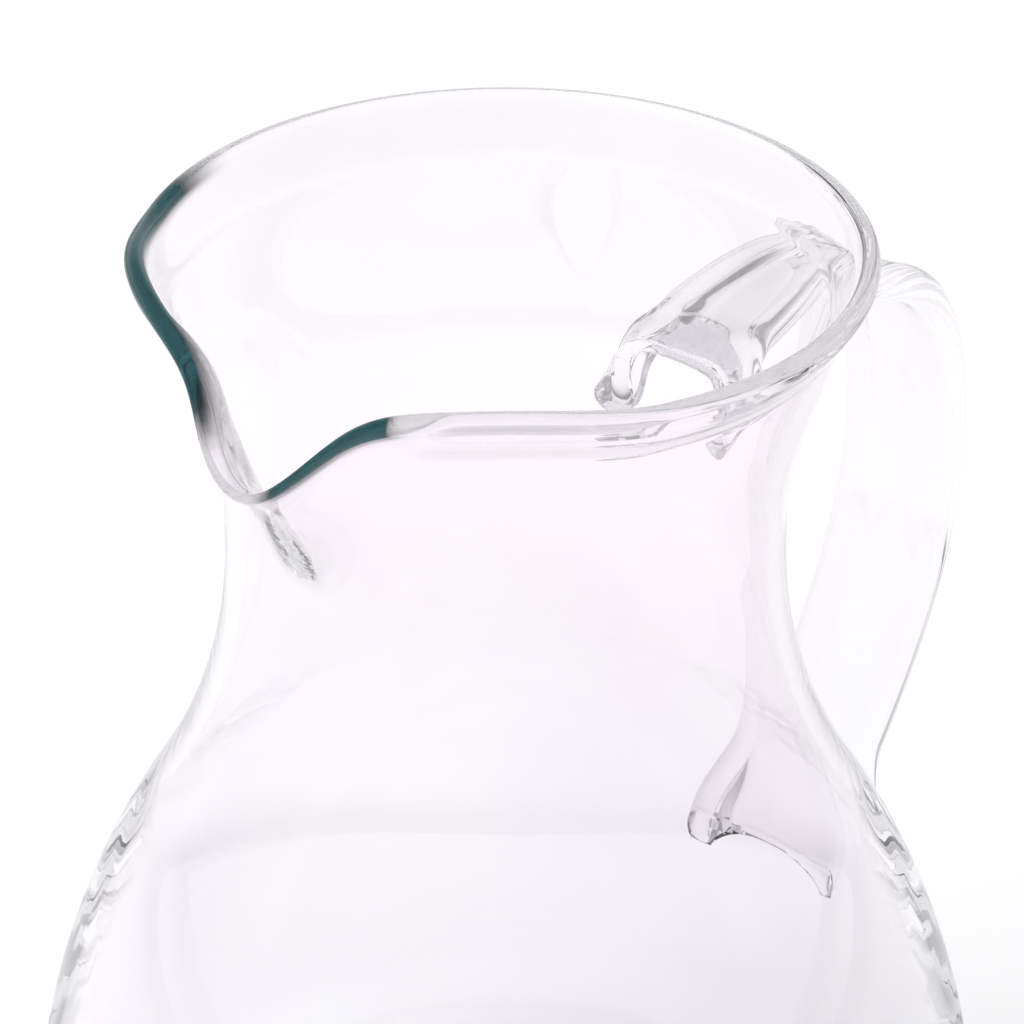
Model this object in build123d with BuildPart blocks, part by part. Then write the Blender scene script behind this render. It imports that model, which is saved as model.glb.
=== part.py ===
# Glass jug: a blown pear-shaped vessel with a drawn pouring lip, and a flat
# glass strap that is set on hot opposite the lip.
#
# Units are millimetres, +Z is up and the origin is the middle of the foot.
# The lip points along -X and the strap stands out along +X.
from build123d import *
from math import cos, exp, hypot, pi, radians, sin, sqrt
import os

os.makedirs("parts", exist_ok=True)

# Vessel: heights above the table, and outside radii
rim_height = 226.0          # middle of the rounded rim, away from the lip
waist_height = 178.0        # narrowest place of the neck
belly_height = 60.0         # widest place
rim_radius = 55.2           # to the middle of the rim's glass
throat_radius = 53.1        # under the rim's bead
waist_radius = 43.6
belly_radius = 77.2
foot_radius = 48.0          # outer edge of the ring that it stands on
swell_share = 0.42          # where the curve turns over, from the waist to the belly
foot_ring = 8.0             # width of the ring
foot_round = 2.0            # rounding of the ring's two edges
push_up = 4.0               # how far the base is pushed in
floor_round = 20.0          # inside, between the floor and the side

# Vessel: thickness of the glass
rim_wall = 3.2
neck_wall = 2.8
belly_wall = 4.4
base_wall = 6.5
tip_wall = 1.6              # at the tip of the lip

# Flare from the waist to the rim
flare_start = 6.0           # above the waist
flare_over = 2.0            # how far above the rim it would come upright
rim_bead = 8.0              # height of the swelling under the rim
rim_turn = 1.6              # in the lip the rim turns outward: height scale of that turn
turn_sector = 27.0          # and degrees each side of the tip
turn_fade = 8.0             # and how sharply that ends

# Pouring lip
lip_dip = 16.0              # how far the rim is pulled down at the tip
lip_reach = 5.0             # how far the tip stands out past the rim
lip_half_angle = 11.7       # degrees round the rim, to a third of the reach
lip_dip_angle = 13.5        # degrees round the rim, to a third of the dip
lip_flank = 2.9             # 2 is a soft groove, more has steeper flanks
lip_fade = 1.8              # how fast the groove dies out down the neck
rim_fade = 8.0              # how fast the thicker rim dies out down the neck
lip_sector = 66.0           # degrees each side that the pull has reached
lip_shoulder_start = 16.0   # degrees from the tip where the rim is drawn up
lip_shoulder_rise = 2.0     # and by how much
lip_shoulder_reach = 0.9    # and how far outward

# Strap handle: route of its middle line in the XZ plane
strap_root_drop = 35.4      # at the neck, under the rim
strap_top_rise = 2.0        # from there up to the top of the strap
strap_top_out = 28.4        # of the waist
strap_bend_drop = 6.0       # where it turns down, under the root
strap_bend_out = 52.3
strap_reach_drop = 29.6     # the farthest place from the axis
strap_reach_out = 61.7
strap_fall_drop = 65.6      # on the way down
strap_fall_out = 55.0
strap_foot_rise = 28.0      # where its middle line meets the body, above the belly
strap_slope = 56.0          # degrees from level, as it meets the body

# Strap handle: its section, which is a band with rounded, thicker edges
strap_width = 23.5
strap_thickness = 5.0       # in the middle
strap_edge = 6.4            # at the edges
strap_bury = 7.0            # how far its ends reach past the wall that cuts them
root_thickness = 2.4        # in the middle, at the neck
root_flat = 6.4             # half width of the flat part there
root_bend = 6.0             # length of the bend to each hanging corner
root_corner = 6.0           # straight length of each hanging corner
root_fold = 82.0            # degrees that the corners hang down
root_edge = 6.8
root_length = 13.0          # length over which the root forms
pad_thickness = 2.4         # in the middle, at the belly
pad_width = 35.0
pad_edge = 6.4
pad_fold = -12.0            # degrees that the corners are turned up there
pad_length = 18.0           # length over which the pad forms

join_gap = 0.01             # surfaces this near to each other count as one
step_size = 0.02            # between two places that a slope is taken from

# Where the curves are held: shares of the neck's rise, degrees from the lip, and
# shares of half the strap's width. They are closer together where the shape turns.
neck_shares = [0, 0.17, 0.34, 0.5, 0.66, 0.78, 0.86, 0.91, 0.95, 0.98, 1]
lip_shares = [0, 0.05, 0.1, 0.15, 0.2, 0.25, 0.3, 0.35, 0.4, 0.45, 0.5, 0.6, 0.72, 0.85, 0.94, 0.98, 1]
band_shares = [0, 0.25, 0.45, 0.6, 0.75, 0.88, 1]
end_steps = 4               # sections over the strap's root, and over its pad
middle_steps = 12           # and between them,
crowding = 0.8              # where 0 spaces them evenly and 1 crowds them to both ends


def ease(share):
    """Go smoothly from 0 to 1 as share does."""
    share = min(max(share, 0.0), 1.0)
    return share * share * (3 - 2 * share)


def knotted_curve(points, shares, tangents=None):
    """Smooth curve through points, which are at the same shares of every such curve."""
    add(Edge.make_spline(points, tangents, parameters=shares))


# The neck above the waist: one formula gives the middle of the wall at any
# angle from the lip and any level, so that the drawn lip grows out of the
# round neck without a seam.
neck_rise = rim_height - waist_height


def neck_point(turn, level):
    """Radius and height of the wall's middle, at an angle from the lip in degrees."""
    share = max(level / neck_rise, 0.0)
    pull = exp(-((abs(turn) / lip_half_angle) ** lip_flank))
    dip = exp(-((turn / lip_dip_angle) ** 2))
    beside = (abs(turn) - lip_shoulder_start) / (lip_sector - lip_shoulder_start)
    drawn = sin(pi * min(max(beside, 0.0), 1.0)) ** 2
    flare = ease((level - flare_start) / (neck_rise + flare_over - flare_start))
    in_lip = exp(-((abs(turn) / turn_sector) ** turn_fade))
    turned = in_lip * exp((level - neck_rise) / rim_turn)
    turned += (1 - in_lip) * ease((level - neck_rise) / rim_bead + 1)
    radius = waist_radius - neck_wall / 2 + (throat_radius - waist_radius) * flare
    radius += (rim_radius - throat_radius + neck_wall / 2) * turned
    radius += (lip_reach * pull + lip_shoulder_reach * drawn) * share**lip_fade
    height = waist_height + level
    height += (lip_shoulder_rise * drawn - lip_dip * dip) * share
    return radius, height


def neck_walls(turn, level):
    """Outer and inner point of the wall there, each square to the wall's middle."""
    low, high = neck_point(turn, level - step_size), neck_point(turn, level + step_size)
    left, right = neck_point(turn - step_size, level), neck_point(turn + step_size, level)
    radius, height = neck_point(turn, level)
    run, rise = high[0] - low[0], high[1] - low[1]
    length = hypot(run, rise)
    slope = (right[0] - left[0]) / radians(2 * step_size) / radius
    share = level / neck_rise
    pull = exp(-((abs(turn) / lip_half_angle) ** 2)) * share**lip_fade
    wall = neck_wall + (rim_wall - neck_wall) * share**rim_fade
    wall += (tip_wall - rim_wall) * pull
    half = wall / 2 * hypot(1, slope * (1 - share**rim_fade))
    shift = (half * rise / length, -half * run / length)
    return (radius + shift[0], height + shift[1]), (radius - shift[0], height - shift[1])


def neck_curves(turn):
    """Points up the outer and the inner curve at that angle, and the rim's direction."""
    walls = [neck_walls(turn, neck_rise * share) for share in neck_shares]
    before, end = neck_point(turn, neck_rise - step_size), neck_point(turn, neck_rise)
    along = Vector(end[0] - before[0], end[1] - before[1]).normalized()
    return [wall[0] for wall in walls], [wall[1] for wall in walls], along


def neck_section(turn):
    """Sketch of the wall above the waist, in the upright plane at that angle."""
    around = radians(180 + turn)
    outward = (cos(around), sin(around), 0)
    outer, inner, along = neck_curves(turn)
    across = Vector(*outer[-1]) - Vector(*inner[-1])
    tip = Vector(*inner[-1]) + (across + along * across.length) / 2
    with BuildSketch(Plane((0, 0, 0), outward, (sin(around), -cos(around), 0))) as section:
        with BuildLine():
            knotted_curve(outer, neck_shares, [(0, 1), along])
            ThreePointArc(outer[-1], tip, inner[-1])
            knotted_curve(inner, neck_shares, [(0, 1), along])
            Line(inner[0], outer[0])
        make_face()
    return section.sketch


def swell_arcs(waist, belly):
    """Two arcs from the waist to the widest place, smooth where they meet."""
    turnover = Vector(waist) + (Vector(belly) - Vector(waist)) * swell_share
    TangentArc(waist, turnover, tangent=(0, -1))
    TangentArc(belly, turnover, tangent=(0, 1))


# Vessel
waist = (waist_radius, waist_height)
belly = (belly_radius, belly_height)
foot = (foot_radius, 0)
ring = (foot_radius - foot_ring, 0)
floor_height = push_up + base_wall

with BuildPart() as body:
    with BuildSketch(Plane.XZ) as body_section:
        with BuildLine():
            swell_arcs(waist, belly)
            heel = TangentArc(belly, foot, tangent=(0, -1))
            Line(foot, ring)
            TangentArc((0, push_up), ring, tangent=(1, 0))
            Line((0, push_up), (0, floor_height))
            # the inside follows the heel at the belly's thickness, down to the floor
            bowl = heel.radius - belly_wall
            reach = sqrt(bowl**2 - (belly_height - floor_height) ** 2)
            corner = (heel.arc_center.X + reach, floor_height)
            Line((0, floor_height), corner)
            inner_belly = (belly_radius - belly_wall, belly_height)
            TangentArc(inner_belly, corner, tangent=(0, -1))
            swell_arcs((waist_radius - neck_wall, waist_height), inner_belly)
            Line((waist_radius - neck_wall, waist_height), waist)
        make_face()
        fillet(body_section.vertices().sort_by(Axis.Y)[:2], foot_round)
        fillet(body_section.vertices().sort_by_distance(corner)[:1], floor_round)
    revolve(axis=Axis.Z)

with BuildPart() as neck:
    revolve(neck_section(lip_sector), axis=Axis.Z, revolution_arc=360 - 2 * lip_sector)

with BuildPart() as lip:
    right_turns = [lip_sector * share for share in lip_shares]
    left_turns = [-turn for turn in right_turns[:0:-1]]
    loft([neck_section(turn) for turn in left_turns + right_turns])

# The three meet in flat faces, so they join without a seam.
top = neck.part.fuse(lip.part, tol=join_gap)
vessel = body.part.fuse(top, tol=join_gap)
vessel.label = "vessel"
export_step(vessel, "parts/vessel.step")

# The outside of the vessel, filled, which cuts the ends of the strap
with BuildPart() as blank:
    with BuildSketch(Plane.XZ):
        with BuildLine():
            swell_arcs(waist, belly)
            Line(belly, (0, belly_height))
            outer, inner, along = neck_curves(lip_sector)
            knotted_curve(outer, neck_shares, [(0, 1), along])
            Polyline(outer[-1], (0, outer[-1][1]), (0, belly_height))
        make_face()
    revolve(axis=Axis.Z)

# Where the strap's middle line comes to the body, on the arc under the turnover
foot_chord = (Vector(belly) - Vector(waist)) * (1 - swell_share)
belly_arc = foot_chord.length**2 / (2 * foot_chord.X)
seat_radius = belly_radius - belly_arc + sqrt(belly_arc**2 - strap_foot_rise**2)

# Route of the strap, from inside the neck to inside the belly
root_height = rim_height - strap_root_drop
fall = Vector(-cos(radians(strap_slope)), -sin(radians(strap_slope)))
seat = Vector(seat_radius, belly_height + strap_foot_rise)
with BuildLine() as strap_route:
    Spline(
        (waist_radius - strap_bury, root_height),
        (waist_radius + strap_top_out, root_height + strap_top_rise),
        (waist_radius + strap_bend_out, root_height - strap_bend_drop),
        (waist_radius + strap_reach_out, root_height - strap_reach_drop),
        (waist_radius + strap_fall_out, root_height - strap_fall_drop),
        seat + fall * strap_bury,
        tangents=[(1, 0), fall],
    )


def strap_outline(root, pad):
    """Upper and lower points of the band's right half, and the tip of its edge.

    root and pad go from 0 to 1 at the two ends of the strap. The band is flat in
    the middle, then bent round, then straight again to its edge.
    """
    plain = (strap_width - strap_edge) / 2
    half = plain + ((pad_width - pad_edge) / 2 - plain) * pad
    half += (root_flat + root_bend + root_corner - plain) * root**2
    middle = strap_thickness + (root_thickness - strap_thickness) * root
    middle += (pad_thickness - strap_thickness) * pad
    edge = strap_edge + (root_edge - strap_edge) * root + (pad_edge - strap_edge) * pad
    flat = root_flat * root
    bend = root_bend * root + half * (1 - root)
    fold = radians(root_fold * root + pad_fold * pad)
    over, under = [], []
    for share in band_shares:
        bent = min(max(half * share - flat, 0.0), bend)
        rest = max(half * share - flat - bend, 0.0)
        lean = fold * bent / bend
        across, drop = bent, 0.0
        if fold:
            across, drop = bend * sin(lean) / fold, bend * (1 - cos(lean)) / fold
        across += min(half * share, flat) + rest * cos(lean)
        drop += rest * sin(lean)
        thick = (middle + (edge - middle) * share**3) / 2
        over.append((across + sin(lean) * thick, cos(lean) * thick - drop))
        under.append((across - sin(lean) * thick, -cos(lean) * thick - drop))
    return over, under, (across + cos(lean) * edge / 2, -drop - sin(lean) * edge / 2)


def mirrored(points):
    """The points of the right half, with those of the left half before them."""
    return [(-x, y) for x, y in points[:0:-1]] + points


# Handle
with BuildPart() as handle:
    route = strap_route.edge()
    root_end = strap_bury + root_length
    pad_start = route.length - strap_bury - pad_length
    middle_length = pad_start - root_end
    places = [0, strap_bury]
    places += [strap_bury + root_length * step / end_steps for step in range(1, end_steps + 1)]
    for step in range(1, middle_steps + 1):
        share = step / middle_steps
        share -= crowding * sin(2 * pi * share) / (2 * pi)
        places.append(root_end + middle_length * share)
    places += [pad_start + pad_length * step / end_steps for step in range(1, end_steps + 1)]
    places.append(route.length)
    knots = [(1 - share) / 2 for share in band_shares[:0:-1]] + [(1 + share) / 2 for share in band_shares]
    sections = []
    for place in places:
        root = 1 - ease((place - strap_bury) / root_length)
        pad = ease((place - pad_start) / pad_length)
        spot = route @ (place / route.length)
        along = route % (place / route.length)
        with BuildSketch(Plane((spot.X, 0, spot.Y), (0, 1, 0), (along.X, 0, along.Y))) as section:
            over, under, tip = strap_outline(root, pad)
            with BuildLine():
                knotted_curve(mirrored(over), knots)
                ThreePointArc(over[-1], tip, under[-1])
                knotted_curve(mirrored(under), knots)
                ThreePointArc((-under[-1][0], under[-1][1]), (-tip[0], tip[1]), (-over[-1][0], over[-1][1]))
            make_face()
        sections.append(section.sketch)
    loft(sections)
    add(blank.part, mode=Mode.SUBTRACT)

handle.part.label = "handle"
export_step(handle.part, "parts/handle.step")
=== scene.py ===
from math import atan2, cos, pi, radians, sin, sqrt

import bpy
import numpy as np
from mathutils import Matrix, Vector
from mathutils.bvhtree import BVHTree


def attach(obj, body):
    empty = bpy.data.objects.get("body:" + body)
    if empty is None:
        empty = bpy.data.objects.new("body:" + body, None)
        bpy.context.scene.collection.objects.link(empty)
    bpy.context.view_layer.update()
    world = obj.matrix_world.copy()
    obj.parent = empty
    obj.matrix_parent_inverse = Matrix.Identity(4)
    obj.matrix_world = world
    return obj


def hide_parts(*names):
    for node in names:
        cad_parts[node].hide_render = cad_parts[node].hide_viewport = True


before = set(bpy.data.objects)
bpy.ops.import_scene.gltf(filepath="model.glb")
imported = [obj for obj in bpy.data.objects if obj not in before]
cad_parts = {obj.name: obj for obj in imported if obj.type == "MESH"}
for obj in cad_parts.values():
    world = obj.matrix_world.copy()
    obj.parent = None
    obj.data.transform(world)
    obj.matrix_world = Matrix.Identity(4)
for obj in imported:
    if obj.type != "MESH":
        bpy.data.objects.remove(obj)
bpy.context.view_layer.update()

# The vessel. One bubble of clear glass, blown, necked and flared, with the rim turned out and
# melted round in the fire. The lip is pulled down and out of the rim while it is hot, and the
# base is pushed in, so that the jug stands on a ring.
MM = 0.001

rim_height = 226.0 * MM
waist_height = 178.0 * MM
belly_height = 60.0 * MM
waist_radius = 43.6 * MM
throat_radius = 53.1 * MM
rim_radius = 55.2 * MM
belly_radius = 77.15 * MM
foot_radius = 48.0 * MM
swell_share = 0.42              # of the way from waist to belly, where the curve turns over
foot_ring = 8.0 * MM
foot_round = 2.0 * MM
push_up = 4.0 * MM
neck_wall = 2.8 * MM
rim_wall = 3.2 * MM
belly_wall = 4.4 * MM
base_wall = 6.5 * MM
floor_round = 20.0 * MM
neck_rise = rim_height - waist_height


class Term:
    """A value that varies over a mesh or a surface. Sums of terms become Math nodes."""

    def __init__(self, tree, socket):
        self.tree, self.socket = tree, socket

    def made(self, operation, *others):
        node = self.tree.nodes.new("ShaderNodeMath")
        node.operation = operation
        self.tree.links.new(self.socket, node.inputs[0])
        for slot, other in zip(node.inputs[1:], others):
            if isinstance(other, Term):
                self.tree.links.new(other.socket, slot)
            else:
                slot.default_value = other
        return Term(self.tree, node.outputs[0])

    def __add__(self, other):
        return self.made("ADD", other)

    def __sub__(self, other):
        return self.made("SUBTRACT", other)

    def __mul__(self, other):
        return self.made("MULTIPLY", other)

    def __truediv__(self, other):
        return self.made("DIVIDE", other)

    def __pow__(self, other):
        return self.made("POWER", other)

    def __neg__(self):
        return self.made("MULTIPLY", -1.0)

    __radd__ = __add__
    __rmul__ = __mul__

    def __rsub__(self, other):
        return -self + other

    def __getattr__(self, name):
        """abs, sin, cos, exp, sqrt, floor, minimum and maximum, as methods."""
        words = {"abs": "ABSOLUTE", "sin": "SINE", "cos": "COSINE", "exp": "EXPONENT"}
        return lambda *others: self.made(words.get(name, name.upper()), *others)

    def held(self, low, high):
        return self.maximum(low).minimum(high)


def ease(term):
    """From 0 to 1, smoothly, as the term goes from 0 to 1."""
    share = term.held(0.0, 1.0)
    return share * share * (3 - 2 * share)


def add_inputs(tree, sizes):
    """Give a node tree one named number for each size."""
    for name, value in sizes.items():
        socket = tree.interface.new_socket(name, in_out="INPUT", socket_type="NodeSocketFloat")
        socket.default_value = value


def terms_of(tree, node):
    """The outputs of a node as terms, by name."""
    return {s.name: Term(tree, s) for s in node.outputs if s.name}


def call(tree, group, terms):
    """Put a node group into a tree, fed with the terms of the same names."""
    node = tree.nodes.new("GeometryNodeGroup")
    node.node_tree = group
    for socket in node.inputs:
        tree.links.new(terms[socket.name].socket, socket)
    return terms_of(tree, node)


# The neck's middle surface: the radius and height at an angle from the lip and a level above
# the waist. The lip is a part of the same formula, so that it grows out of the round neck.
neck_sizes = {
    "Neck rise": neck_rise,
    "Waist": waist_radius - neck_wall / 2,
    "Flare": throat_radius - waist_radius,
    "Flare start": 6.0 * MM,
    "Flare length": 44.0 * MM,
    "Turn-out": rim_radius - throat_radius + neck_wall / 2,
    "Turn-out scale": 1.6 * MM,
    "Rim bead": 8.0 * MM,
    "Lip sector": 27.0,
    "Lip dip": 16.0 * MM,
    "Lip dip angle": 13.5,
    "Lip reach": 5.0 * MM,
    "Lip half angle": 11.7,
    "Lip flank": 2.9,
    "Lip fade": 1.8,
    "Drawn start": 16.0,
    "Drawn end": 66.0,
    "Drawn rise": 2.0 * MM,
    "Drawn reach": 0.9 * MM,
}
neck_middle = bpy.data.node_groups.new("Neck middle", "GeometryNodeTree")
add_inputs(neck_middle, {"Turn": 0.0, "Level": 0.0})
add_inputs(neck_middle, neck_sizes)
for name in ("Radius", "Height"):
    neck_middle.interface.new_socket(name, in_out="OUTPUT", socket_type="NodeSocketFloat")
t = terms_of(neck_middle, neck_middle.nodes.new("NodeGroupInput"))
share = (t["Level"] / t["Neck rise"]).maximum(0.0)
away = t["Turn"].abs()
pull = (-((away / t["Lip half angle"]) ** t["Lip flank"])).exp()
dip = (-((t["Turn"] / t["Lip dip angle"]) ** 2.0)).exp()
beside = ((away - t["Drawn start"]) / (t["Drawn end"] - t["Drawn start"])).held(0.0, 1.0)
drawn = (beside * pi).sin() ** 2.0
flare = t["Flare"] * ease((t["Level"] - t["Flare start"]) / t["Flare length"])
under = t["Level"] - t["Neck rise"]
drawn_out = (-((away / t["Lip sector"]) ** 8.0)).exp()
turned = drawn_out * (under / t["Turn-out scale"]).exp()
turned = turned + (1 - drawn_out) * ease(under / t["Rim bead"] + 1.0)
turned = turned * t["Turn-out"]
lip = (t["Lip reach"] * pull + t["Drawn reach"] * drawn) * share ** t["Lip fade"]
radius = t["Waist"] + flare + turned + lip
height = t["Level"] + (t["Drawn rise"] * drawn - t["Lip dip"] * dip) * share
group_out = neck_middle.nodes.new("NodeGroupOutput")
neck_middle.links.new(radius.socket, group_out.inputs["Radius"])
neck_middle.links.new(height.socket, group_out.inputs["Height"])


def sampled(tree, geometry, index, name, kind="FLOAT"):
    """A named value of a row of points, read at an index."""
    value = tree.nodes.new("GeometryNodeInputNamedAttribute")
    value.data_type = kind
    value.inputs["Name"].default_value = name
    sample = tree.nodes.new("GeometryNodeSampleIndex")
    sample.data_type = kind
    tree.links.new(geometry, sample.inputs["Geometry"])
    tree.links.new(value.outputs["Attribute"], sample.inputs["Value"])
    tree.links.new(index.socket, sample.inputs["Index"])
    return Term(tree, sample.outputs["Value"])


def wrapped_sheet(tree, rows, columns):
    """A sheet of columns by rows of vertices, and each vertex's column and row."""
    sheet = tree.nodes.new("GeometryNodeMeshGrid")
    tree.links.new(columns.socket, sheet.inputs["Vertices X"])
    tree.links.new(rows.socket, sheet.inputs["Vertices Y"])
    index = Term(tree, tree.nodes.new("GeometryNodeInputIndex").outputs[0])
    column = ((index + 0.5) / rows).floor()
    return sheet.outputs["Mesh"], column, index - column * rows


def noted(tree, sheet, name, term):
    """Keep a value on the sheet's vertices under a name, for the material to read."""
    node = tree.nodes.new("GeometryNodeStoreNamedAttribute")
    node.inputs["Name"].default_value = name
    tree.links.new(sheet, node.inputs["Geometry"])
    tree.links.new(term.socket, node.inputs["Value"])
    return node.outputs[0]


def placed(tree, sheet, x, y, z, material, flip):
    """Move the sheet's vertices to x, y, z, weld it and finish the tree."""
    spot = tree.nodes.new("ShaderNodeCombineXYZ")
    for slot, term in zip(spot.inputs, (x, y, z)):
        tree.links.new(term.socket, slot)
    steps = ["GeometryNodeSetPosition", "GeometryNodeMergeByDistance"]
    steps += ["GeometryNodeFlipFaces"] * flip
    steps += ["GeometryNodeSetShadeSmooth", "GeometryNodeRealizeInstances", "GeometryNodeSetMaterial"]
    for kind in steps:
        node = tree.nodes.new(kind)
        tree.links.new(sheet, node.inputs[0])
        sheet = node.outputs[0]
        if kind == "GeometryNodeSetPosition":
            tree.links.new(spot.outputs[0], node.inputs["Position"])
        if kind == "GeometryNodeMergeByDistance":
            node.inputs["Distance"].default_value = 0.002 * MM
        if kind == "GeometryNodeSetMaterial":
            node.inputs["Material"].default_value = material
    out = tree.nodes.new("NodeGroupOutput")
    tree.links.new(sheet, out.inputs[0])


def fresh(row, name):
    """The plain mesh that an object's modifiers make, and the object left without them."""
    ready = row.evaluated_get(bpy.context.evaluated_depsgraph_get())
    mesh = bpy.data.meshes.new_from_object(ready)
    row.modifiers.clear()
    row.data = mesh
    mesh.name = name


def point_row(name, points, values):
    """An object of points in a row, with a named value on each."""
    mesh = bpy.data.meshes.new(name)
    mesh.from_pydata([tuple(p) for p in points], [], [])
    for key, numbers in values.items():
        numbers = np.asarray(numbers, float)
        kind = "FLOAT_VECTOR" if numbers.ndim == 2 else "FLOAT"
        layer = mesh.attributes.new(key, kind, "POINT")
        layer.data.foreach_set("vector" if numbers.ndim == 2 else "value", numbers.ravel())
    row = bpy.data.objects.new(name, mesh)
    bpy.context.collection.objects.link(row)
    return row


def grown(row, tree, sizes):
    """Run a node tree on a row of points, and leave the plain mesh that it makes."""
    modifier = row.modifiers.new("Shape", "NODES")
    modifier.node_group = tree
    for item in tree.interface.items_tree:
        if item.in_out == "INPUT" and item.name in sizes:
            modifier[item.identifier] = sizes[item.name]
    row.update_tag()
    fresh(row, row.name)
    return row


def arc(start, end, heading, steps):
    """Points on the arc that leaves start along heading and comes to end."""
    across = Vector(end) - Vector(start)
    leave = Vector(heading).normalized()
    turn = atan2(leave.x * across.y - leave.y * across.x, leave.dot(across))
    made = []
    for step in range(steps + 1):
        part = turn * step / steps
        way = Matrix.Rotation(part, 2) @ leave
        made.append(Vector(start) + way * across.length * sin(part) / sin(turn))
    return made


def rounded(before, corner, after, radius, steps=6):
    """Points that round a corner between the directions of two neighbours."""
    into = (Vector(corner) - Vector(before)).normalized()
    out = (Vector(after) - Vector(corner)).normalized()
    back = radius * ((1 - into.dot(out)) / (1 + into.dot(out))) ** 0.5
    return arc(Vector(corner) - into * back, Vector(corner) + out * back, into, steps)


# Outside of the body, from the middle of the base, out over the ring and up to the waist
belly = Vector((belly_radius, belly_height))
waist = Vector((waist_radius, waist_height))
swell = waist.lerp(belly, swell_share)
foot = Vector((foot_radius, 0))
ring_edge = Vector((foot_radius - foot_ring, 0))
pushed = arc((0, push_up), ring_edge, (1, 0), 14)
heel = arc(belly, foot, (0, -1), 26)[::-1]
outside = pushed[:-1]
outside += rounded(pushed[-2], ring_edge, foot, foot_round)
outside += rounded(ring_edge, foot, heel[1], foot_round)
outside += heel[1:]
outside += arc(belly, swell, (0, 1), 30)[1:]
outside += arc(waist, swell, (0, -1), 26)[-2:0:-1]

# Inside of the body, from the waist down to the middle of the floor
inner_waist = waist - Vector((neck_wall, 0))
inner_belly = belly - Vector((belly_wall, 0))
inner_swell = inner_waist.lerp(inner_belly, swell_share)
floor_height = push_up + base_wall
heel_radius = ((belly - foot).length ** 2) / (2 * (belly_radius - foot_radius))
heel_middle = belly - Vector((heel_radius, 0))
bowl_radius = heel_radius - belly_wall
corner_drop = belly_height - floor_height - floor_round
corner_out = sqrt((bowl_radius - floor_round) ** 2 - corner_drop**2)
corner_middle = heel_middle + Vector((corner_out, -corner_drop))
bowl_end = heel_middle + (corner_middle - heel_middle).normalized() * bowl_radius
floor_edge = corner_middle - Vector((0, floor_round))
bowl_way = (corner_middle - heel_middle).normalized()
inside = arc(inner_waist, inner_swell, (0, -1), 26)[1:]
inside += arc(inner_belly, inner_swell, (0, 1), 30)[-2::-1]
inside += arc(inner_belly, bowl_end, (0, -1), 22)[1:]
inside += arc(bowl_end, floor_edge, (bowl_way.y, -bowl_way.x), 10)[1:]
inside += [floor_edge.lerp(Vector((0, floor_height)), step / 6) for step in range(1, 7)]

# The wall: up the outside of the neck, round the rim and down the inside. Each point says how
# high it is above the waist, how far it is on the outer side of the wall's middle, and how far
# past the middle's upper end.
neck_levels = [neck_rise * (1 - (1 - step / 44) ** 1.5) for step in range(45)]
rim_steps = 14
rim_turns = [pi * (0.5 - step / rim_steps) for step in range(1, rim_steps)]
levels = [-1.0] * len(outside) + neck_levels + [neck_rise] * len(rim_turns)
levels += neck_levels[::-1] + [-1.0] * len(inside)
sides = [0.0] * len(outside) + [1.0] * len(neck_levels) + [sin(turn) for turn in rim_turns]
sides += [-1.0] * len(neck_levels) + [0.0] * len(inside)
ends = [0.0] * (len(outside) + len(neck_levels)) + [cos(turn) for turn in rim_turns]
ends += [0.0] * (len(neck_levels) + len(inside))
plain = [(0, 0)] * (2 * len(neck_levels) + len(rim_turns))
wall_points = [(x, 0, z) for x, z in outside + plain + inside]

# The slow waves in the glass, which the vessel and the handle share
ripple = bpy.data.node_groups.new("Blown ripple", "ShaderNodeTree")
ripple.interface.new_socket("Vector", in_out="INPUT", socket_type="NodeSocketVector")
add_inputs(ripple, {"Swell size": 30.0, "Fine size": 160.0, "Fine share": 0.2})
ripple.interface.new_socket("Height", in_out="OUTPUT", socket_type="NodeSocketFloat")
t = terms_of(ripple, ripple.nodes.new("NodeGroupInput"))
waves = []
for size in ("Swell size", "Fine size"):
    noise = ripple.nodes.new("ShaderNodeTexNoise")
    noise.inputs["Detail"].default_value = 1.0
    ripple.links.new(t["Vector"].socket, noise.inputs["Vector"])
    ripple.links.new(t[size].socket, noise.inputs["Scale"])
    waves.append(Term(ripple, noise.outputs["Fac"]))
height = waves[0] + waves[1] * t["Fine share"]
ripple.links.new(height.socket, ripple.nodes.new("NodeGroupOutput").inputs["Height"])


def clear_glass(name, tint, swell_size, fine_size, stretch, relief, bending=1.5):
    """Clear glass whose surface has the slow waves that blowing or pulling leaves."""
    material = bpy.data.materials.new(name)
    material.use_nodes = True
    nodes, links = material.node_tree.nodes, material.node_tree.links
    shader = nodes["Principled BSDF"]
    shader.inputs["Transmission Weight"].default_value = 1.0
    shader.inputs["Metallic"].default_value = 0.0
    shader.inputs["IOR"].default_value = bending
    shader.inputs["Roughness"].default_value = 0.0
    coordinate = nodes.new("ShaderNodeTexCoord")
    mapping = nodes.new("ShaderNodeMapping")
    mapping.inputs["Scale"].default_value = stretch
    links.new(coordinate.outputs["Object"], mapping.inputs["Vector"])
    waves = nodes.new("ShaderNodeGroup")
    waves.node_tree = ripple
    waves.inputs["Swell size"].default_value = swell_size
    waves.inputs["Fine size"].default_value = fine_size
    links.new(mapping.outputs["Vector"], waves.inputs["Vector"])
    bump = nodes.new("ShaderNodeBump")
    bump.inputs["Strength"].default_value = 1.0
    bump.inputs["Distance"].default_value = relief
    links.new(waves.outputs["Height"], bump.inputs["Height"])
    links.new(bump.outputs["Normal"], shader.inputs["Normal"])
    colour = nodes.new("ShaderNodeMix")
    colour.data_type = "RGBA"
    colour.inputs["A"].default_value = (*tint, 1)
    colour.inputs["B"].default_value = (1, 1, 1, 1)
    links.new(waves.outputs["Height"], colour.inputs["Factor"])
    links.new(colour.outputs["Result"], shader.inputs["Base Color"])
    return material


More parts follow.
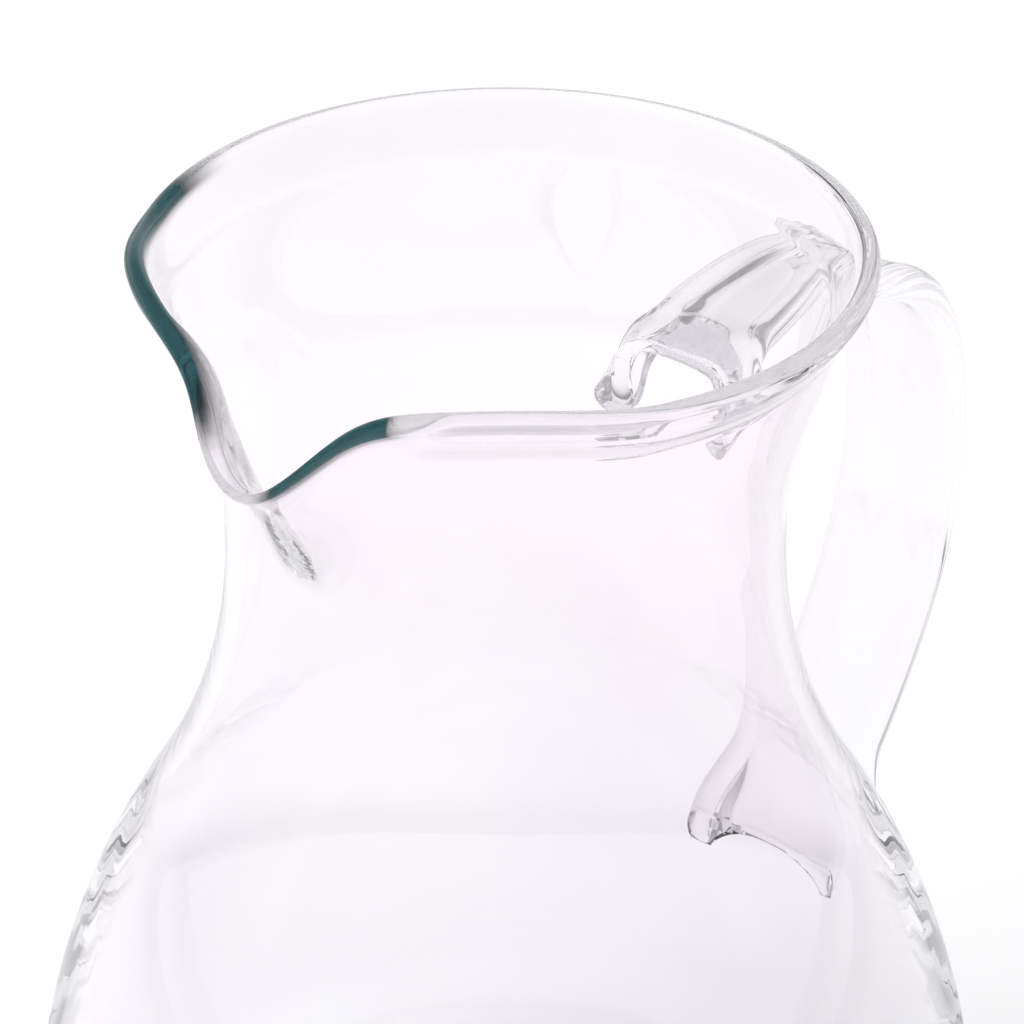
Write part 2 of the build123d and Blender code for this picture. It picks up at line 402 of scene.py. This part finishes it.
blown_glass = clear_glass(
    "Blown glass", (0.93, 0.85, 0.915), 18.0, 90.0, (1, 1, 0.6), 0.04 * MM
)


def deepened(material, name, colour):
    """Give glass a deeper colour where the value that its mesh keeps under a name is high."""
    nodes, links = material.node_tree.nodes, material.node_tree.links
    kept = nodes.new("ShaderNodeAttribute")
    kept.attribute_name = name
    deep = nodes.new("ShaderNodeMix")
    deep.data_type = "RGBA"
    deep.inputs["B"].default_value = (*colour, 1)
    links.new(kept.outputs["Fac"], deep.inputs["Factor"])
    base = nodes["Principled BSDF"].inputs["Base Color"]
    links.new(base.links[0].from_socket, deep.inputs["A"])
    links.new(deep.outputs["Result"], base)


# The thick lower body is greyer than the thin neck. Painted shade on the rim: stretches on
# either side of the lip, longer on the left than on the right, get a near-black sea green, which
# stands in for the dark of light led along the thick rim. The green is the glass's own tint,
# seen through long glass.
thick_tint = (0.93, 0.925, 0.945)
painted_rim_shade_green = (0.0003, 0.012, 0.015)
deepened(blown_glass, "low", thick_tint)
deepened(blown_glass, "rim_painted_shade", painted_rim_shade_green)

wall = bpy.data.node_groups.new("Blown wall", "GeometryNodeTree")
wall.interface.new_socket("Geometry", in_out="INPUT", socket_type="NodeSocketGeometry")
wall_sizes = {
    "Turns": 320.0,
    "Profile points": float(len(wall_points)),
    "Waist height": waist_height,
    "Neck wall": neck_wall,
    "Rim wall": rim_wall,
    "Tip wall": 1.6 * MM,
    # Where the rim's painted shade lies: its depth below the rim and its stretches beside the lip
    "Gathered depth": 2.4 * MM,
    "Right start": 1.5,
    "Right end": 24.5,
    "Right fade in": 4.0,
    "Right fade out": 2.0,
    "Left start": 6.5,
    "Left end": 88.0,
    "Left fade in": 5.0,
    "Left fade out": 16.0,
    "Grey top": 150.0 * MM,
    "Grey fade": 100.0 * MM,
    "Turn step": 0.02,
    "Level step": 0.02 * MM,
}
add_inputs(wall, wall_sizes)
add_inputs(wall, neck_sizes)
wall.interface.new_socket("Geometry", in_out="OUTPUT", socket_type="NodeSocketGeometry")
t = terms_of(wall, wall.nodes.new("NodeGroupInput"))
row = t["Geometry"].socket
sheet, column, line = wrapped_sheet(wall, t["Turns"] + 1.0, t["Profile points"])
turn = (line / t["Turns"] - 0.5) * 360.0
level = sampled(wall, row, column, "level")
side = sampled(wall, row, column, "side")
end = sampled(wall, row, column, "end")
body_radius = sampled(wall, row, column, "radius")
body_height = sampled(wall, row, column, "height")
spot = {}
for key, turn_step, level_step in (
    ("here", 0, 0), ("low", 0, -1), ("high", 0, 1), ("left", -1, 0), ("right", 1, 0)
):
    at = {
        "Turn": turn + t["Turn step"] * float(turn_step),
        "Level": level + t["Level step"] * float(level_step),
    }
    spot[key] = call(wall, neck_middle, t | at)
run = spot["high"]["Radius"] - spot["low"]["Radius"]
rise = spot["high"]["Height"] - spot["low"]["Height"]
length = (run * run + rise * rise).sqrt()
slope = (spot["right"]["Radius"] - spot["left"]["Radius"]) / (t["Turn step"] * radians(2))
slope = slope / spot["here"]["Radius"]
share = (level / t["Neck rise"]).maximum(0.0)
upper = share**8.0
pull = (-((turn / t["Lip half angle"]) ** 2.0)).exp() * share ** t["Lip fade"]
thick = t["Neck wall"] + (t["Rim wall"] - t["Neck wall"]) * upper
thick = thick + (t["Tip wall"] - t["Rim wall"]) * pull
skew = slope * (1 - upper)
half = thick * 0.5 * (1 + skew * skew).sqrt()
over = half / length
radius = spot["here"]["Radius"] + (side * rise + end * run) * over
height = spot["here"]["Height"] + t["Waist height"] + (end * rise - side * run) * over
in_neck = level.made("GREATER_THAN", -0.5 * MM)
radius = radius * in_neck + body_radius * (1 - in_neck)
height = height * in_neck + body_height * (1 - in_neck)
around = (turn + 180.0) * radians(1)
# Painted shade: the mask for the rim's near-black sea green, at the top of the rim, on the stretches
# right and left of the lip
near_rim = ease((level - t["Neck rise"]) / t["Gathered depth"] + 1.0)
right = ease((turn - t["Right start"]) / t["Right fade in"])
right = right * ease((t["Right end"] - turn) / t["Right fade out"])
left = ease((turn * -1.0 - t["Left start"]) / t["Left fade in"])
left = left * ease((turn + t["Left end"]) / t["Left fade out"])
sheet = noted(wall, sheet, "rim_painted_shade", near_rim * (right + left))
sheet = noted(wall, sheet, "low", ease((t["Grey top"] - height) / t["Grey fade"]))
placed(wall, sheet, radius * around.cos(), radius * around.sin(), height, blown_glass, True)

vessel = point_row(
    "jug_vessel",
    wall_points,
    {
        "level": levels,
        "side": sides,
        "end": ends,
        "radius": [x for x, y, z in wall_points],
        "height": [z for x, y, z in wall_points],
    },
)
grown(vessel, wall, wall_sizes | neck_sizes)
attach(vessel, "root")
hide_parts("vessel")

# The handle. A flat band of glass, gathered apart, laid on the hot neck, bent down and pressed
# on the belly. Its corners hang down at the neck and spread on the belly, where they stuck.
strap_slope = 56.0              # degrees from level, as it comes to the belly
strap_bury = 7.0 * MM           # how far its ends run on past the wall that they melt into
root_length = 13.0 * MM
pad_length = 18.0 * MM
melt = 0.8 * MM                 # how far it has sunk into the wall
strap_foot_rise = 28.0 * MM
upper_arc = (belly - waist).length ** 2 * swell_share / (2 * (belly_radius - waist_radius))
lower_arc = upper_arc / swell_share * (1 - swell_share)
seat_radius = belly_radius - lower_arc + sqrt(lower_arc**2 - strap_foot_rise**2)
strap_seat = Vector((seat_radius, belly_height + strap_foot_rise))
fall = Vector((-cos(radians(strap_slope)), -sin(radians(strap_slope))))
strap_knots = [
    Vector((36.6, 190.6)) * MM,
    Vector((72.0, 192.6)) * MM,
    Vector((95.9, 184.6)) * MM,
    Vector((105.1, 161.0)) * MM,
    Vector((98.6, 125.0)) * MM,
    strap_seat + fall * strap_bury,
]


def smooth_route(knots, first_way, last_way, steps):
    """Points and directions on the smooth curve through knots, evenly spaced."""
    reach = np.cumsum([0] + [(b - a).length for a, b in zip(knots, knots[1:])])
    gaps = np.diff(reach)
    rows, ways = np.eye(len(knots)), np.zeros((len(knots), 2))
    ways[0], ways[-1] = first_way, last_way
    places = np.array([tuple(knot) for knot in knots])
    for i in range(1, len(knots) - 1):
        before, after = gaps[i - 1], gaps[i]
        rows[i, i - 1 : i + 2] = 1 / before, 2 / before + 2 / after, 1 / after
        ways[i] = 3 * (places[i] - places[i - 1]) / before**2 + 3 * (places[i + 1] - places[i]) / after**2
    ways = np.linalg.solve(rows, ways)
    fine = np.linspace(0, reach[-1], 2000)
    i = np.clip(np.searchsorted(reach, fine, side="right") - 1, 0, len(gaps) - 1)
    u = ((fine - reach[i]) / gaps[i])[:, None]
    gap = gaps[i][:, None]
    curve = places[i] * (1 + 2 * u) * (1 - u) ** 2 + ways[i] * gap * u * (1 - u) ** 2
    curve += places[i + 1] * u * u * (3 - 2 * u) + ways[i + 1] * gap * u * u * (u - 1)
    run = np.concatenate([[0], np.cumsum(np.hypot(*np.diff(curve, axis=0).T))])
    even = np.linspace(0, run[-1], steps)
    points = np.column_stack([np.interp(even, run, curve[:, k]) for k in (0, 1)])
    ahead = np.gradient(curve, axis=0)
    ahead = np.column_stack([np.interp(even, run, ahead[:, k]) for k in (0, 1)])
    return points, ahead / np.hypot(*ahead.T)[:, None], even


def eased(numbers):
    numbers = np.clip(numbers, 0, 1)
    return numbers * numbers * (3 - 2 * numbers)


route, ahead, along = smooth_route(strap_knots, (1, 0), tuple(fall), 220)
root = 1 - eased((along - strap_bury) / root_length)
pad = eased((along - along[-1] + pad_length + strap_bury) / pad_length)
twice = [0, *range(len(along)), len(along) - 1]
strap_row = point_row(
    "jug_handle",
    [(x, 0, z) for x, z in route[twice]],
    {
        "route_x": route[twice, 0],
        "route_z": route[twice, 1],
        "ahead_x": ahead[twice, 0],
        "ahead_z": ahead[twice, 1],
        "root": root[twice],
        "pad": pad[twice],
        "open": [0] + [1] * len(along) + [0],
    },
)

# The band's section: along the top, round an edge, back underneath and round the other edge
flat_steps, edge_steps = 28, 12
shares = [step / flat_steps * 2 - 1 for step in range(flat_steps + 1)]
edge_turns = [pi * (0.5 - step / edge_steps) for step in range(1, edge_steps)]
section_place = shares + [1.0] * len(edge_turns) + shares[::-1] + [-1.0] * len(edge_turns)
section_side = [1.0] * len(shares) + [sin(turn) for turn in edge_turns]
section_side += [-value for value in section_side]
section_end = [0.0] * len(shares) + [cos(turn) for turn in edge_turns]
section_end += section_end
section_row = point_row(
    "strap_section",
    [(0, 0, 0)] * (len(section_place) + 1),
    {
        "place": section_place + section_place[:1],
        "side": section_side + section_side[:1],
        "end": section_end + section_end[:1],
    },
)

pulled_glass = clear_glass(
    "Pulled glass", (0.93, 0.9, 0.93), 14.0, 60.0, (1, 2.5, 0.7), 0.25 * MM
)

band = bpy.data.node_groups.new("Strap band", "GeometryNodeTree")
band.interface.new_socket("Geometry", in_out="INPUT", socket_type="NodeSocketGeometry")
band.interface.new_socket("Section", in_out="INPUT", socket_type="NodeSocketObject")
band_sizes = {
    "Stations": float(len(twice)),
    "Section points": float(len(section_place) + 1),
    "Thickness": 5.0 * MM,
    "Root thickness": 1.4 * MM,
    "Pad thickness": 1.2 * MM,
    "Edge": 6.4 * MM,
    "Root edge": 6.8 * MM,
    "Pad edge": 6.4 * MM,
    "Half width": 23.5 / 2 * MM,
    "Pad half width": 35.0 / 2 * MM,
    "Root flat": 6.4 * MM,
    "Root bend": 6.0 * MM,
    "Root corner": 6.0 * MM,
    "Root fold": radians(82.0),
    "Pad fold": radians(-12.0),
}
add_inputs(band, band_sizes)
band.interface.new_socket("Geometry", in_out="OUTPUT", socket_type="NodeSocketGeometry")
t = terms_of(band, band.nodes.new("NodeGroupInput"))
row = t["Geometry"].socket
section = band.nodes.new("GeometryNodeObjectInfo")
band.links.new(t["Section"].socket, section.inputs["Object"])
sheet, column, line = wrapped_sheet(band, t["Section points"], t["Stations"])
route_x, route_z, ahead_x, ahead_z, at_root, at_pad, size = (
    sampled(band, row, column, name)
    for name in ("route_x", "route_z", "ahead_x", "ahead_z", "root", "pad", "open")
)
place, side, end = (
    sampled(band, section.outputs["Geometry"], line, name) for name in ("place", "side", "end")
)
edge = t["Edge"] + (t["Root edge"] - t["Edge"]) * at_root + (t["Pad edge"] - t["Edge"]) * at_pad
plain_half = t["Half width"] - t["Edge"] * 0.5
half = plain_half + (t["Pad half width"] - t["Pad edge"] * 0.5 - plain_half) * at_pad
half = half + (t["Root flat"] + t["Root bend"] + t["Root corner"] - plain_half) * at_root**2.0
flat = t["Root flat"] * at_root
bend = t["Root bend"] * at_root + half * (1 - at_root)
fold = t["Root fold"] * at_root + t["Pad fold"] * at_pad + 1e-4
out = place.abs()
reach = out * half
bent = (reach - flat).held(0.0, bend)
rest = (reach - flat - bend).maximum(0.0)
lean = fold * bent / bend
across = reach.minimum(flat) + bend * lean.sin() / fold + rest * lean.cos()
drop = bend * (1 - lean.cos()) / fold + rest * lean.sin()
middle = t["Thickness"] + (t["Root thickness"] - t["Thickness"]) * at_root
middle = middle + (t["Pad thickness"] - t["Thickness"]) * at_pad
thick = (middle + (edge - middle) * out**3.0) * 0.5
across = across + (end * lean.cos() + side * lean.sin()) * thick
lift = (side * lean.cos() - end * lean.sin()) * thick - drop
x = route_x - ahead_z * lift * size
y = across * place.made("SIGN") * size
z = route_z + ahead_x * lift * size
placed(band, sheet, x, y, z, pulled_glass, False)
handle_sizes = dict(band_sizes)
handle_sizes["Section"] = section_row
handle = grown(strap_row, band, handle_sizes)
bpy.data.objects.remove(section_row)

# The wall that it melted into: the vessel's outside, less the depth of the melt. Light isn't
# bent where glass has melted into glass.
melted_glass = clear_glass(
    "Melted glass", (0.98, 0.97, 0.98), 14.0, 60.0, (1, 2.5, 0.7), 0.01 * MM, bending=1.0
)
core_heights = np.linspace(50, 214, 83) * MM
neck_line = waist_radius + (throat_radius - waist_radius) * eased(
    (core_heights - waist_height - neck_sizes["Flare start"]) / neck_sizes["Flare length"]
)
upper_line = waist_radius + upper_arc - np.sqrt(upper_arc**2 - (waist_height - core_heights) ** 2)
lower_line = belly_radius - lower_arc + np.sqrt(lower_arc**2 - (core_heights - belly_height) ** 2)
core_line = np.where(core_heights > swell.y, upper_line, lower_line)
core_line = np.where(core_heights > waist_height, neck_line, core_line) - melt
around = np.linspace(0, 2 * pi, 160, endpoint=False)
core_places = [
    (radius * cos(turn), radius * sin(turn), z)
    for radius, z in zip(core_line, core_heights)
    for turn in around
]
count = len(around)
core_faces = [
    (low + k, low + (k + 1) % count, low + count + (k + 1) % count, low + count + k)
    for low in range(0, len(core_places) - count, count)
    for k in range(count)
]
core_faces += [tuple(range(count))[::-1], tuple(range(len(core_places) - count, len(core_places)))]
core_mesh = bpy.data.meshes.new("melted_wall")
core_mesh.materials.append(melted_glass)
core_mesh.from_pydata(core_places, [], core_faces)
core = bpy.data.objects.new("melted_wall", core_mesh)
bpy.context.collection.objects.link(core)
cut = handle.modifiers.new("Melt", "BOOLEAN")
cut.operation = "DIFFERENCE"
cut.solver = "MANIFOLD"
cut.object = core
cut.material_mode = "TRANSFER"
fresh(handle, "jug_handle")
bpy.data.objects.remove(core)

# The wall's faces that lie inside the strap's ends are melted glass too
strap_shell = BVHTree.FromPolygons(
    [vertex.co for vertex in handle.data.vertices],
    [face.vertices[:] for face in handle.data.polygons],
)
strap_side = 20.0 * MM
clear_of_axis = 30.0 * MM
under_strap = set()
for vertex in vessel.data.vertices:
    outward = Vector((vertex.co.x, vertex.co.y, 0))
    if vertex.co.x > strap_side and outward.length > clear_of_axis:
        met, normal, index, gap = strap_shell.ray_cast(vertex.co, outward.normalized())
        if met is not None and normal.dot(outward) > 0:
            under_strap.add(vertex.index)
vessel.data.materials.append(melted_glass)
for face in vessel.data.polygons:
    if under_strap.issuperset(face.vertices):
        face.material_index = len(vessel.data.materials) - 1
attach(handle, "root")
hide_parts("handle")

# The table. A white sheet that the jug stands on, wide enough to fill the picture.
table_size = 12.0
paper_glow = 0.44
dusk_start = 0.9
dusk_run = 1.6
dusk_share = 0.7
bpy.ops.mesh.primitive_plane_add(size=table_size)
table = bpy.context.object
table.name = "table"
paper = bpy.data.materials.new("White paper")
paper.use_nodes = True
nodes, links = paper.node_tree.nodes, paper.node_tree.links
shader = nodes["Principled BSDF"]
shader.inputs["Base Color"].default_value = (0.93, 0.93, 0.935, 1)
shader.inputs["Roughness"].default_value = 0.9
shader.inputs["Specular IOR Level"].default_value = 0.0
rays = nodes.new("ShaderNodeLightPath")
seen = Term(paper.node_tree, rays.outputs["Is Camera Ray"])
seen = seen.maximum(Term(paper.node_tree, rays.outputs["Is Transmission Ray"]))
seen = seen.maximum(Term(paper.node_tree, rays.outputs["Is Glossy Ray"]) * 0.6)
glow = nodes.new("ShaderNodeEmission")
glow.inputs["Color"].default_value = (1, 1, 1, 1)
links.new((seen * paper_glow).socket, glow.inputs["Strength"])
both = nodes.new("ShaderNodeAddShader")
links.new(shader.outputs["BSDF"], both.inputs[0])
links.new(glow.outputs["Emission"], both.inputs[1])
# Painted shade: far out, every ray but the camera's sees the table fade to a dark grey, which stands in
# for an unlit room around it
place = nodes.new("ShaderNodeTexCoord")
reach = nodes.new("ShaderNodeVectorMath")
reach.operation = "LENGTH"
links.new(place.outputs["Object"], reach.inputs[0])
far = (Term(paper.node_tree, reach.outputs["Value"]) - dusk_start) / dusk_run
far = far.held(0.0, dusk_share)
far = far * (1 - Term(paper.node_tree, rays.outputs["Is Camera Ray"]))
dusk = nodes.new("ShaderNodeBsdfDiffuse")
dusk.inputs["Color"].default_value = (0.12, 0.12, 0.125, 1)
fade = nodes.new("ShaderNodeMixShader")
links.new(far.socket, fade.inputs["Fac"])
links.new(both.outputs["Shader"], fade.inputs[1])
links.new(dusk.outputs["BSDF"], fade.inputs[2])
links.new(fade.outputs["Shader"], nodes["Material Output"].inputs["Surface"])
table.data.materials.append(paper)

# The room. Pale low down and grey higher up, so that the glass has edges, and one wide soft
# lamp from the upper left, which lights the table and isn't seen in the glass.
scene = bpy.context.scene
scene.view_settings.view_transform = "Standard"
turns_in_glass = 96
scene.cycles.max_bounces = turns_in_glass
scene.cycles.transmission_bounces = turns_in_glass
scene.cycles.glossy_bounces = turns_in_glass
world = bpy.data.worlds.new("Studio")
scene.world = world
world.use_nodes = True
nodes, links = world.node_tree.nodes, world.node_tree.links
background = nodes["Background"]
direction = nodes.new("ShaderNodeTexCoord")
split = nodes.new("ShaderNodeSeparateXYZ")
links.new(direction.outputs["Generated"], split.inputs["Vector"])
ramp = nodes.new("ShaderNodeValToRGB")
greys = ((0.12, 0.85), (0.45, 0.4), (0.75, 0.35), (0.95, 0.6))
while len(ramp.color_ramp.elements) < len(greys):
    ramp.color_ramp.elements.new(0.5)
for element, (height, grey) in zip(ramp.color_ramp.elements, greys):
    element.position = height
    element.color = (grey, grey, grey * 1.03, 1)
links.new(split.outputs["Z"], ramp.inputs["Fac"])
links.new(ramp.outputs["Color"], background.inputs["Color"])
background.inputs["Strength"].default_value = 1.0

lamp_place = Vector((-0.9, 0.2, 1.2))
lamp_aim = Vector((0, 0, 0.12))
lamp_data = bpy.data.lights.new("Soft lamp", "AREA")
lamp_data.shape = "RECTANGLE"
lamp_data.size, lamp_data.size_y = 0.7, 0.9
lamp_data.energy = 8.0
lamp = bpy.data.objects.new("Soft lamp", lamp_data)
lamp.visible_glossy = False
lamp.visible_transmission = False
lamp.matrix_world = Matrix.Translation(lamp_place) @ (
    (lamp_aim - lamp_place).to_track_quat("-Z", "Y").to_matrix().to_4x4()
)
scene.collection.objects.link(lamp)

# The camera, where the photograph was taken from
camera_turn = radians(-50.0)
camera_pitch = radians(29.675)
camera_aim = Vector((0.643, -0.766, 181.30)) * MM
camera_distance = 900.0 * MM
level_back = Vector((sin(camera_turn), -cos(camera_turn), 0)) * cos(camera_pitch)
back = level_back + Vector((0, 0, sin(camera_pitch)))
camera_data = bpy.data.cameras.new("Camera")
camera_data.lens = 204.1
camera_data.sensor_width = 36.0
camera = bpy.data.objects.new("Camera", camera_data)
camera.matrix_world = Matrix.Translation(camera_aim + back * camera_distance) @ (
    back.to_track_quat("Z", "Y").to_matrix().to_4x4()
)
scene.collection.objects.link(camera)
scene.camera = camera
